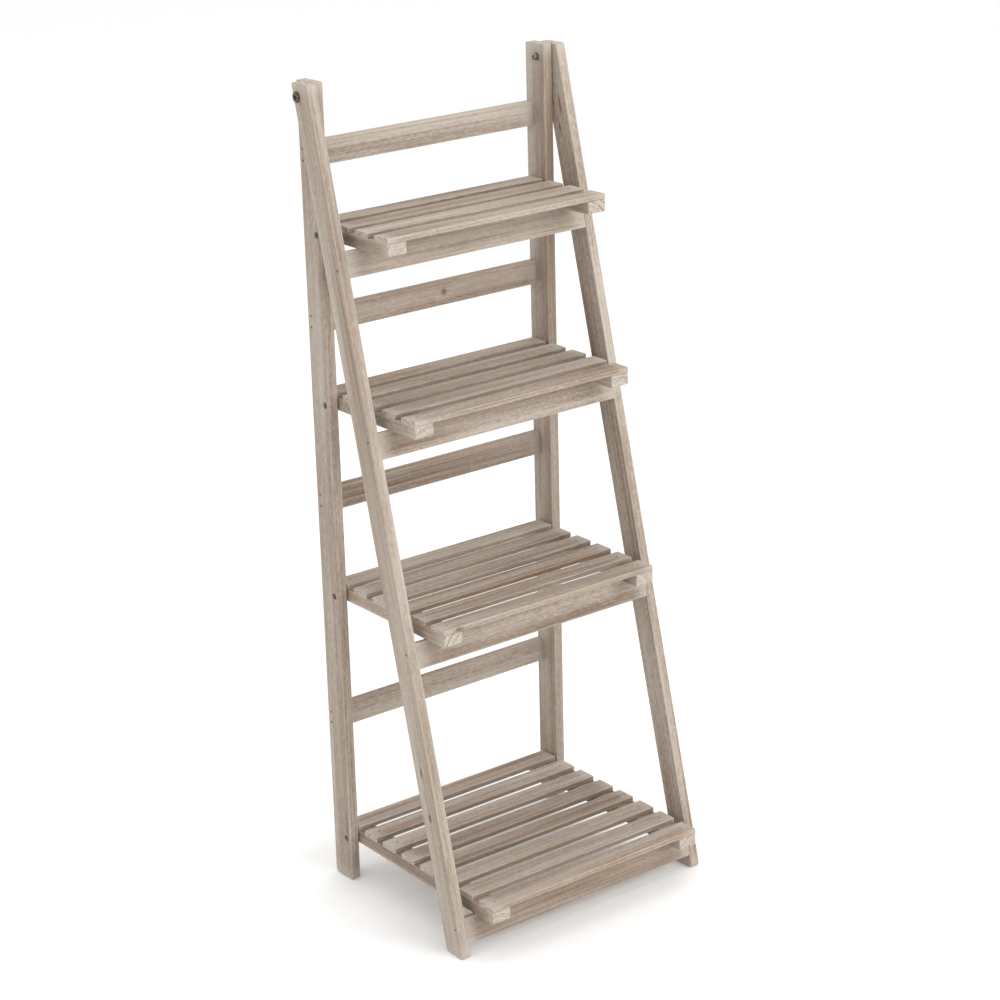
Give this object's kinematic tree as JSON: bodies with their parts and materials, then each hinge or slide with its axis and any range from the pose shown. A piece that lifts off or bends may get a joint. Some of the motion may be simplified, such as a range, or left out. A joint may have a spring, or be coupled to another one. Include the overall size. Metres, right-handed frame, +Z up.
{
  "type": "ladder shelf",
  "caption": "Folding A-frame ladder shelf of washed wood: two hinged frames and slatted shelves that deepen towards the floor and tilt up to fold.",
  "frame": {"origin": "bottom centre of the bounding box, on the floor", "axes": "+Z up, the front looks along -Y, +X is to the right seen from the front"},
  "size_m": [0.3954, 0.3414, 1.0805],
  "materials": {
    "washed_wood": "matte grey and white wash, worn on the edges",
    "bronzed_bolts": "aged, satin",
    "zinc_steel": "zinc plated, satin",
    "dull_nails": "dull, painted over in part"
  },
  "bodies": {
    "rear_frame": {"back_rail_1": "washed_wood", "back_rail_2": "washed_wood", "back_rail_3": "washed_wood", "back_rail_4": "washed_wood", "back_rail_nails": "dull_nails", "pivot_bolts": "bronzed_bolts", "pivot_nuts": "zinc_steel", "pivot_washers": "zinc_steel", "rear_leg_left": "washed_wood", "rear_leg_right": "washed_wood"},
    "front_frame": {"front_leg_left": "washed_wood", "front_leg_right": "washed_wood", "front_rail_1": "washed_wood", "front_rail_2": "washed_wood", "front_rail_3": "washed_wood", "front_rail_4": "washed_wood", "front_rail_nails": "dull_nails"},
    "shelf_1": {"shelf_1_batten_left": "washed_wood", "shelf_1_batten_right": "washed_wood", "shelf_1_pivot_screws": "zinc_steel", "shelf_1_slat_1": "washed_wood", "shelf_1_slat_2": "washed_wood", "shelf_1_slat_3": "washed_wood", "shelf_1_slat_4": "washed_wood", "shelf_1_slat_nails": "dull_nails"},
    "shelf_2": {"shelf_2_batten_left": "washed_wood", "shelf_2_batten_right": "washed_wood", "shelf_2_pivot_screws": "zinc_steel", "shelf_2_slat_1": "washed_wood", "shelf_2_slat_2": "washed_wood", "shelf_2_slat_3": "washed_wood", "shelf_2_slat_4": "washed_wood", "shelf_2_slat_5": "washed_wood", "shelf_2_slat_nails": "dull_nails"},
    "shelf_3": {"shelf_3_batten_left": "washed_wood", "shelf_3_batten_right": "washed_wood", "shelf_3_pivot_screws": "zinc_steel", "shelf_3_slat_1": "washed_wood", "shelf_3_slat_2": "washed_wood", "shelf_3_slat_3": "washed_wood", "shelf_3_slat_4": "washed_wood", "shelf_3_slat_5": "washed_wood", "shelf_3_slat_6": "washed_wood", "shelf_3_slat_nails": "dull_nails"},
    "shelf_4": {"shelf_4_batten_left": "washed_wood", "shelf_4_batten_right": "washed_wood", "shelf_4_pivot_screws": "zinc_steel", "shelf_4_slat_1": "washed_wood", "shelf_4_slat_2": "washed_wood", "shelf_4_slat_3": "washed_wood", "shelf_4_slat_4": "washed_wood", "shelf_4_slat_5": "washed_wood", "shelf_4_slat_6": "washed_wood", "shelf_4_slat_7": "washed_wood", "shelf_4_slat_8": "washed_wood", "shelf_4_slat_nails": "dull_nails"}
  },
  "joints": [
    {"name": "front_frame_fold", "type": "hinge", "parent": "rear_frame", "child": "front_frame", "pos_m": [0, 0.11039, 1.0635], "axis": [1, 0, 0], "range_deg": [0, 13.9]},
    {"name": "shelf_1_lift", "type": "hinge", "parent": "rear_frame", "child": "shelf_1", "pos_m": [0, 0.11094, 0.89015], "axis": [-1, 0, 0], "range_deg": [0, 87.9]},
    {"name": "shelf_2_lift", "type": "hinge", "parent": "rear_frame", "child": "shelf_2", "pos_m": [0, 0.11864, 0.66975], "axis": [-1, 0, 0], "range_deg": [0, 87.9]},
    {"name": "shelf_3_lift", "type": "hinge", "parent": "rear_frame", "child": "shelf_3", "pos_m": [0, 0.12772, 0.40965], "axis": [-1, 0, 0], "range_deg": [0, 87.9]},
    {"name": "shelf_4_lift", "type": "hinge", "parent": "rear_frame", "child": "shelf_4", "pos_m": [0, 0.13995, 0.05955], "axis": [-1, 0, 0], "range_deg": [0, 87.9]}
  ]
}
